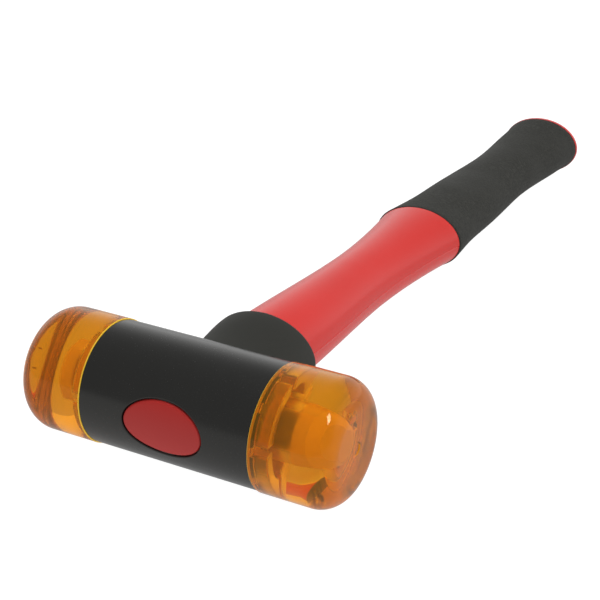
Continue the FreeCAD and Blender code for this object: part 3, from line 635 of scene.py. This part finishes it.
def slot_of(node):
    """The name of the material slot that a node came with."""
    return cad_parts[node].data.materials[0].name.split(".")[0]


# ---------------------------------------------------------------- sizes and colours

def length(name, description, default):
    return bpy.props.FloatProperty(
        name=name, description=description, default=default, unit="LENGTH", precision=5
    )


def angle(name, description, degrees):
    return bpy.props.FloatProperty(
        name=name, description=description, default=math.radians(degrees), subtype="ANGLE"
    )


def paint(name, description, default):
    return bpy.props.FloatVectorProperty(
        name=name, description=description, default=default, size=3, min=0.0, max=1.0,
        subtype="COLOR",
    )


class MALLET_PG_sizes(bpy.types.PropertyGroup):
    """Sizes of the modelled details."""

    face_corner: length("Striking edge", "Rounding of a face's striking edge", 0.0097)
    face_rear_edge: length("Rear edge", "Rounding of a face's rear rim", 0.00035)
    bore_radius: length("Bore", "Radius of a face's threaded bore", 0.007)
    bore_depth: length("Bore depth", "Depth of the bore", 0.0166)
    bore_cone: length("Bore cone", "Cone at the blind end of the bore", 0.0016)
    gate_radius: length("Gate mark", "Radius of the moulding gate mark", 0.0023)
    gate_depth: length("Gate depth", "Depth of the gate mark", 0.00035)
    slot_inner: length("Slot inside", "Inner radius of the arc slots", 0.0169)
    slot_outer: length("Slot outside", "Outer radius of the arc slots", 0.0185)
    slot_depth: length("Slot depth", "Depth of the arc slots", 0.0012)
    slot_angle: angle("Slot angle", "Length of each arc slot", 35.0)
    pocket_inner: length("Pocket inside", "Inner radius of the pockets", 0.0106)
    pocket_outer: length("Pocket outside", "Outer radius of the pockets", 0.0160)
    pocket_depth: length("Pocket depth", "Depth of the pockets", 0.006)
    pocket_floor: length("Pocket floor", "Rounding of a pocket's floor", 0.0012)
    rib_angle: angle("Rib angle", "Rib left between two pockets", 10.0)
    slot_turn: angle("Slot turn", "First arc slot, turned from the handle's side", 22.5)
    pocket_turn: angle("Pocket turn", "First pocket, turned from the handle's side", 45.0)
    thread_pitch: length("Thread pitch", "Advance of a face in one turn", 0.002)
    thread_depth: length("Thread depth", "Depth of the stud's thread", 0.0011)
    thread_play: length("Thread play", "Gap between the stud and the bore", 0.00005)
    socket_width: length("Socket", "Stud's hexagon socket, across flats", 0.006)
    socket_depth: length("Socket depth", "Depth of the hexagon socket", 0.005)
    tenon_edge: length("Front end", "Rounding of the handle's front end", 0.0008)
    parting_width: length("Parting line", "Width of the mould's parting line", 0.0005)
    parting_height: length("Parting ridge", "Height of the parting line", 0.00012)
    grip_rim: length("Grip rim", "Rounding of the grip's front rim", 0.0007)


class MALLET_PG_colours(bpy.types.PropertyGroup):
    """Colours of the finishes."""

    amber: paint("Amber", "Tint of the clear plastic's skin", (1.0, 0.46, 0.014))
    amber_depth: paint("Amber depth", "Tint that deepens through the plastic", (1.0, 0.52, 0.1))
    red: paint("Red", "Red moulding", (0.61, 0.023, 0.018))
    enamel: paint("Enamel", "Black paint of the tube", (0.009, 0.009, 0.0085))
    rubber: paint("Rubber", "Black rubber", (0.0220, 0.0222, 0.0195))
    zinc: paint("Zinc", "Plated steel", (0.42, 0.42, 0.43))
    bare_steel: paint("Bare steel", "Unpainted rims of the tube", (0.72, 0.70, 0.66))
    oxide: paint("Oxide", "Black oxide on steel", (0.028, 0.028, 0.03))
    glass_fibre: paint("Fibreglass", "Handle core", (0.56, 0.50, 0.27))


# ---------------------------------------------------------------- pieces

def turn_about_head(piece, turn):
    """Turns a piece's mesh about the head's axis."""
    shift = Matrix.Translation(HEAD_CENTRE)
    piece.data.transform(shift @ Matrix.Rotation(turn, 4, "X") @ shift.inverted())


def is_sharp(edge):
    return edge.calc_face_angle(0.0) > math.radians(60)


def arc_block(name, inner, outer, depth, spread, turn, floor_edge=0.0):
    """A curved block with round ends that cuts one slot into a face's rear, turned from +Y."""
    rear = TUBE_HIGH.x
    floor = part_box("right_face")[0].x + depth
    overrun = outer - inner
    clear_selection()
    bpy.ops.mesh.primitive_plane_add(size=1.0, location=(0.0, 0.0, 0.0))
    block = name_new(name)
    with Editing(block):
        bpy.ops.mesh.select_all(action="SELECT")
        resize((floor - rear + overrun, outer - inner, 1.0), (0.0, 0.0, 0.0))
        middle = (floor + rear - overrun) / 2
        radius = (inner + outer) / 2
        bpy.ops.transform.translate(value=(middle, HEAD_CENTRE.y + radius, HEAD_CENTRE.z))
        bpy.ops.mesh.spin(
            steps=ARC_STEPS, angle=spread, center=HEAD_CENTRE, axis=ALONG_HEAD, dupli=False
        )
    clean(block)
    with Editing(block) as editing:
        editing.select("EDGE", lambda edge: (
            is_sharp(edge) and abs(edge.verts[0].co.x - edge.verts[1].co.x) > depth / 2
        ))
        bevel((outer - inner) * END_SHARE, END_STEPS)
    clean(block)
    if floor_edge:
        with Editing(block) as editing:
            editing.select("EDGE", lambda edge: (
                is_sharp(edge) and all(abs(vertex.co.x - floor) < SEARCH for vertex in edge.verts)
            ))
            bevel(floor_edge, EDGE_STEPS)
        clean(block)
    turn_about_head(block, spread / 2 + turn)
    return block


def ring_of(block, count):
    """Repeats a cutter block evenly about the head's axis."""
    with Editing(block):
        bpy.ops.mesh.select_all(action="SELECT")
        bpy.ops.mesh.spin(
            steps=count - 1, angle=2 * math.pi * (count - 1) / count, center=HEAD_CENTRE,
            axis=ALONG_HEAD, dupli=True,
        )
    return block


def face_outline(sizes):
    """Half of a striking face's section, from the bore's blind end round to the gate mark."""
    low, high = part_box("right_face")
    rear = low.x - HEAD_CENTRE.x
    front = high.x - HEAD_CENTRE.x
    radius = (high.z - low.z) / 2
    corner = sizes.face_corner
    edge = sizes.face_rear_edge
    bore = sizes.bore_radius
    lip = sizes.gate_depth / 2
    bore_end = rear + sizes.bore_depth
    outline = [
        (bore_end, 0.0),
        (bore_end, bore - sizes.bore_cone),
        (bore_end - sizes.bore_cone, bore),
        (rear + edge, bore),
        (rear, bore + edge),
    ]
    outline += arc((rear + edge, radius - edge), edge, 180.0, 90.0, EDGE_STEPS)
    outline += arc((front - corner, radius - corner), corner, 90.0, 0.0, CORNER_STEPS)
    outline += [
        (front, sizes.gate_radius + lip),
        (front - lip, sizes.gate_radius),
        (front - sizes.gate_depth, sizes.gate_radius - lip),
        (front - sizes.gate_depth, 0.0),
    ]
    return outline


class MALLET_OT_faces(bpy.types.Operator):
    """Turns a clear striking face, sinks its slots and pockets, and sets one at each end."""

    bl_idname = "mallet.faces"
    bl_label = "Striking faces"

    def execute(self, context):
        sizes = context.scene.mallet_sizes
        right = turned_solid("right_clear_face", face_outline(sizes))
        slot = arc_block(
            "slot", sizes.slot_inner, sizes.slot_outer, sizes.slot_depth, sizes.slot_angle,
            sizes.slot_turn,
        )
        carve(right, ring_of(slot, SLOT_COUNT))
        pocket = arc_block(
            "pocket", sizes.pocket_inner, sizes.pocket_outer, sizes.pocket_depth,
            2 * math.pi / POCKET_COUNT - sizes.rib_angle, sizes.pocket_turn, sizes.pocket_floor,
        )
        carve(right, ring_of(pocket, POCKET_COUNT))
        left = twin(right, "left_clear_face", HALF_TURN)
        for face, side in ((right, "right"), (left, "left")):
            complete(face, f"{side}_face", "clear_amber", f"{side}_face", context)
        return {"FINISHED"}


def threaded_span(sizes):
    """Where the stud's shoulder ends and where its tip ends, along the head from its middle."""
    shoulder_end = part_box("right_face_washer")[0].x - HEAD_CENTRE.x - sizes.thread_play
    return shoulder_end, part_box("right_face_stud")[1].x - HEAD_CENTRE.x


def stud_outline(sizes):
    """Half of a stud's section at the thread's roots, with its shoulder and chamfered tip."""
    low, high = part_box("right_face_stud")
    back = low.x - HEAD_CENTRE.x
    root = sizes.bore_radius - sizes.thread_play - sizes.thread_depth
    shoulder = (high.z - low.z) / 2
    flange_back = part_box("right_end_plug")[1].x - HEAD_CENTRE.x + sizes.thread_play
    flange_front, tip = threaded_span(sizes)
    edge = sizes.thread_depth / 4
    return [
        (back, 0.0),
        (back, root),
        (flange_back, root),
        (flange_back, shoulder - edge),
        (flange_back + edge, shoulder),
        (flange_front - edge, shoulder),
        (flange_front, shoulder - edge),
        (flange_front, root),
        (tip - sizes.thread_depth / 2, root),
        (tip, root - sizes.thread_depth / 2),
        (tip, 0.0),
    ]


def thread_ridge(name, sizes, start, end):
    """The helical ridge of a thread between two places along the head's axis, short of the tip."""
    pitch = sizes.thread_pitch
    crest = sizes.bore_radius - sizes.thread_play
    root = crest - sizes.thread_depth
    turns = int((end - start) / pitch) - 1
    clear_selection()
    bpy.ops.mesh.primitive_plane_add(size=1.0, location=(0.0, 0.0, 0.0))
    ridge = name_new(name)
    sunk = sizes.thread_depth / 4
    with Editing(ridge) as editing:
        bpy.ops.mesh.select_all(action="SELECT")
        resize((pitch * THREAD_BASE, sizes.thread_depth + sunk, 1.0), (0.0, 0.0, 0.0))
        editing.select("VERT", lambda vertex: vertex.co.y > 0)
        resize((THREAD_CREST, 1.0, 1.0), (0.0, 0.0, 0.0))
        bpy.ops.mesh.select_all(action="SELECT")
        bpy.ops.transform.translate(value=(start + pitch / 2, (crest + root - sunk) / 2, 0.0))
        bpy.ops.mesh.delete(type="ONLY_FACE")
    apply_modifier(
        ridge, "SCREW", axis="X", angle=2 * math.pi, screw_offset=pitch, iterations=turns,
        steps=THREAD_STEPS, render_steps=THREAD_STEPS, use_merge_vertices=False,
        use_normal_calculate=True,
    )
    with Editing(ridge):
        bpy.ops.mesh.select_mode(type="EDGE")
        bpy.ops.mesh.select_non_manifold()
        bpy.ops.mesh.edge_face_add()
    clean(ridge)
    ridge.data.transform(Matrix.Translation(HEAD_CENTRE))
    return ridge


class MALLET_OT_studs(bpy.types.Operator):
    """Turns a stud, sinks its hexagon socket, winds its thread on, and sets one at each end."""

    bl_idname = "mallet.studs"
    bl_label = "Threaded studs"

    def execute(self, context):
        sizes = context.scene.mallet_sizes
        right = turned_solid("right_threaded_stud", stud_outline(sizes), STUD_STEPS)
        start, tip = threaded_span(sizes)
        clear_selection()
        bpy.ops.mesh.primitive_cylinder_add(
            vertices=HEXAGON, radius=sizes.socket_width / math.sqrt(3),
            depth=2 * sizes.socket_depth,
            location=(HEAD_CENTRE.x + tip, HEAD_CENTRE.y, HEAD_CENTRE.z),
            rotation=(0.0, math.pi / 2, 0.0),
        )
        carve(right, name_new("socket"))
        carve(right, thread_ridge("thread", sizes, start, tip), "UNION")
        left = twin(right, "left_threaded_stud", HALF_TURN)
        for stud, side in ((right, "right"), (left, "left")):
            complete(stud, "head", "black_oxide", f"{side}_face_stud", context)
        return {"FINISHED"}


def rounded(place, width, height, edge, growing):
    """Ovals that round a rim of an oval solid, from or towards a flat end at a place."""
    ovals = []
    for step in range(RIM_STEPS + 1):
        turn = math.pi / 2 * step / RIM_STEPS
        if not growing:
            turn = math.pi / 2 - turn
        inset = edge * (1 - math.sin(turn))
        sink = edge * (1 - math.cos(turn))
        offset = sink if growing else -sink
        ovals.append((place + offset, width - inset, height - inset))
    return ovals


class MALLET_OT_jacket(bpy.types.Operator):
    """Draws the red moulding through its ovals, from its curved front end to under the grip."""

    bl_idname = "mallet.jacket"
    bl_label = "Handle moulding"

    def execute(self, context):
        sizes = context.scene.mallet_sizes
        low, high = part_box("handle_jacket")
        collar_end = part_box("neck_collar")[1].y
        grip_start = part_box("grip_sleeve")[0].y
        outline = Outline("handle_jacket")
        tenon = outline.half_sizes(HEAD_CENTRE.y)
        shaft_start = collar_end + JOINT_GAP
        ovals = [(low.y, tenon[0] * part, tenon[1] * part) for part in FRONT_RINGS]
        ovals += rounded(low.y, *tenon, sizes.tenon_edge, growing=True)
        ovals.append((shaft_start, *tenon))
        for start, end, count in (
            (shaft_start, grip_start, SHAFT_STATIONS), (grip_start, high.y, GRIP_STATIONS)
        ):
            for step in range(count + 1):
                place = start + (end - start) * step / count
                measured = min(max(place, start + SEARCH), end - SEARCH)
                ovals.append((place, *outline.half_sizes(measured)))
        jacket = oval_solid("red_handle", ovals)
        self.curve_front(jacket, low.y)
        width = 2 * outline.half_sizes((shaft_start + grip_start) / 2)[0]
        self.raise_parting_line(jacket, sizes, shaft_start, grip_start, width)
        core_low, core_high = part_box("handle_core")
        half_width = (core_high.x - core_low.x) / 2 + JOINT_GAP
        half_height = (core_high.z - core_low.z) / 2 + JOINT_GAP
        carve(jacket, oval_solid("core_hole", [
            (core_low.y - JOINT_GAP, half_width, half_height),
            (high.y + half_height, half_width, half_height),
        ]))
        complete(jacket, "head", "red_plastic", "handle_jacket", context)
        return {"FINISHED"}

    @staticmethod
    def curve_front(jacket, front):
        """Bends the flat front end to the curve of the tube it lies flush with."""
        reach = HEAD_CENTRE.y - front
        for vertex in jacket.data.vertices:
            if vertex.co.y < front + reach / 4:
                rise = vertex.co.z - HEAD_CENTRE.z
                vertex.co.y += reach - math.sqrt(reach * reach - rise * rise)

    @staticmethod
    def raise_parting_line(jacket, sizes, start, end, width):
        """A fine ridge along both sides of the bare shaft, where the mould's halves met."""
        def on_line(vertex):
            in_span = start - SEARCH < vertex.co.y < end + SEARCH
            return in_span and abs(vertex.co.z - HEAD_CENTRE.z) < SEARCH

        with Editing(jacket) as editing:
            editing.select("EDGE", lambda edge: all(on_line(vertex) for vertex in edge.verts))
            bevel(sizes.parting_width / 2, 2)
            editing.select("VERT", on_line)
            resize((1 + 2 * sizes.parting_height / width, 1.0, 1.0), HEAD_CENTRE)


class MALLET_OT_grip(bpy.types.Operator):
    """Draws the soft grip through its ovals and hollows it out for the handle."""

    bl_idname = "mallet.grip"
    bl_label = "Soft grip"

    def execute(self, context):
        sizes = context.scene.mallet_sizes
        low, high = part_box("grip_sleeve")
        rim = sizes.grip_rim
        outside = Outline("grip_sleeve")
        ovals = rounded(low.y, *outside.half_sizes(low.y + rim), rim, growing=True)
        for step in range(1, GRIP_STATIONS):
            place = low.y + rim + (high.y - low.y - 1.5 * rim) * step / GRIP_STATIONS
            ovals.append((place, *outside.half_sizes(place)))
        end_sizes = outside.half_sizes(high.y - rim / 2)
        ovals += rounded(high.y, *end_sizes, rim / 2, growing=False)
        grip = oval_solid("soft_grip", ovals, vertices=GRIP_VERTICES)
        inside = Outline("handle_jacket")
        hollow = []
        for step in range(GRIP_STATIONS + 1):
            place = low.y + (high.y - low.y) * step / GRIP_STATIONS
            measured = min(max(place, low.y + SEARCH), high.y - SEARCH)
            width, height = inside.half_sizes(measured)
            hollow.append((place, width + JOINT_GAP, height + JOINT_GAP))
        hollow[0] = (low.y - rim, *hollow[0][1:])
        hollow[-1] = (high.y + rim, *hollow[-1][1:])
        carve(grip, oval_solid("grip_hollow", hollow, vertices=GRIP_VERTICES))
        complete(grip, "head", "grip_rubber", "grip_sleeve", context)
        return {"FINISHED"}


class MALLET_OT_finishes(bpy.types.Operator):
    """Gives the pieces that keep their own mesh their finishes."""

    bl_idname = "mallet.finishes"
    bl_label = "Plain pieces"

    def execute(self, context):
        for name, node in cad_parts.items():
            if not node.hide_render:
                node.material_slots[0].material = finish_for(context, slot_of(name))
        return {"FINISHED"}


# ---------------------------------------------------------------- stage

def place_facing(item, place, direction):
    """Sets a light or camera at a place, looking along a direction."""
    turn = Vector(direction).to_track_quat("-Z", "Y").to_matrix().to_4x4()
    item.matrix_world = Matrix.Translation(place) @ turn


class MALLET_OT_stage(bpy.types.Operator):
    """Sets the pale floor, the soft lights and the camera."""

    bl_idname = "mallet.stage"
    bl_label = "Stage"

    def execute(self, context):
        self.lay_floor()
        self.light_world(context.scene)
        top = self.add_softbox("top_light", (-0.1, 0.05, 1.2), (0.9, 0.9), 10.0)
        top.visible_glossy = False
        top.visible_transmission = False
        corner = self.add_softbox("corner_light", (0.86, -0.34, 0.84), (0.17, 0.36), 3.0)
        corner.visible_transmission = False
        self.set_camera(context.scene)
        context.scene.view_settings.view_transform = "Standard"
        return {"FINISHED"}

    @staticmethod
    def lay_floor():
        """A pale table that glows, tilted so that the head and the butt both rest on it.

        It is dimmer in glossy reflections, which keeps the black paint dark.
        """
        cap_low, cap_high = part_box("butt_cap")
        tilt = math.atan2(cap_low.z, cap_high.y - HEAD_CENTRE.y)
        clear_selection()
        bpy.ops.mesh.primitive_plane_add(
            size=40.0, location=(0.0, HEAD_CENTRE.y, 0.0), rotation=(tilt, 0.0, 0.0)
        )
        floor = name_new("floor")
        material = bpy.data.materials.new("pale_floor")
        material.use_nodes = True
        graph = Graph(material.node_tree)
        glossy = graph.add("ShaderNodeLightPath", output="Is Glossy Ray")
        graph.close(graph.principled(
            Base_Color=shade(WHITE, 0.12),
            Roughness=0.8,
            Emission_Color=graph.blend(glossy, WHITE, shade(WHITE, 0.45)),
            Emission_Strength=1.0,
        ))
        floor.data.materials.append(material)

    @staticmethod
    def light_world(scene):
        """A white sweep behind the handle that darkens overhead, and is even through plastic."""
        world = bpy.data.worlds.new("studio")
        world.use_nodes = True
        graph = Graph(world.node_tree)
        direction = graph.add("ShaderNodeTexCoord", output="Generated")
        height = graph.add("ShaderNodeSeparateXYZ", values={0: direction}, output="Z")
        depth = graph.add("ShaderNodeSeparateXYZ", values={0: direction}, output="Y")
        low = graph.between(height, 0.10, 0.85, 1.0, 0.0)
        behind = graph.between(depth, -0.2, 0.4)
        through = graph.add("ShaderNodeLightPath", output="Is Transmission Ray")
        strength = low * behind * (0.68 - through * 0.55) + through * 0.55 + 0.32
        light = graph.add("ShaderNodeBackground", values={"Color": WHITE, "Strength": strength})
        graph.add("ShaderNodeOutputWorld", values={"Surface": light})
        scene.world = world

    @staticmethod
    def add_softbox(name, place, size, power):
        light = bpy.data.lights.new(name, "AREA")
        light.shape = "RECTANGLE"
        light.size, light.size_y = size
        light.energy = power
        box = bpy.data.objects.new(name, light)
        bpy.context.scene.collection.objects.link(box)
        place_facing(box, place, HEAD_CENTRE - Vector(place))
        return box

    @staticmethod
    def set_camera(scene):
        camera = bpy.data.objects.new("camera", bpy.data.cameras.new("camera"))
        scene.collection.objects.link(camera)
        camera.data.sensor_width = 36.0
        camera.data.lens = CAMERA_LENS
        camera.data.clip_start = 0.01
        camera.data.clip_end = 100.0
        place_facing(camera, CAMERA_PLACE, CAMERA_AIM)
        camera.matrix_world @= Matrix.Rotation(CAMERA_ROLL, 4, "Z")
        scene.camera = camera


class MALLET_PT_panel(bpy.types.Panel):
    """Lists the pieces, their sizes and their colours."""

    bl_label = "Mallet"
    bl_idname = "MALLET_PT_panel"
    bl_space_type = "VIEW_3D"
    bl_region_type = "UI"
    bl_category = "Mallet"

    def draw(self, context):
        for operator in OPERATORS:
            self.layout.operator(operator.bl_idname)
        for group in (context.scene.mallet_sizes, context.scene.mallet_colours):
            column = self.layout.column()
            for name in group.bl_rna.properties.keys():
                if name not in {"rna_type", "name"}:
                    column.prop(group, name)


OPERATORS = (
    MALLET_OT_faces,
    MALLET_OT_studs,
    MALLET_OT_jacket,
    MALLET_OT_grip,
    MALLET_OT_finishes,
    MALLET_OT_stage,
)
CLASSES = (MALLET_PG_sizes, MALLET_PG_colours, *OPERATORS, MALLET_PT_panel)


def register():
    for item in CLASSES:
        bpy.utils.register_class(item)
    bpy.types.Scene.mallet_sizes = bpy.props.PointerProperty(type=MALLET_PG_sizes)
    bpy.types.Scene.mallet_colours = bpy.props.PointerProperty(type=MALLET_PG_colours)


def unregister():
    del bpy.types.Scene.mallet_colours
    del bpy.types.Scene.mallet_sizes
    for item in reversed(CLASSES):
        bpy.utils.unregister_class(item)


def main():
    register()
    bpy.ops.mallet.faces()
    bpy.ops.mallet.studs()
    bpy.ops.mallet.jacket()
    bpy.ops.mallet.grip()
    bpy.ops.mallet.finishes()
    bpy.ops.mallet.stage()


if __name__ == "__main__":
    main()
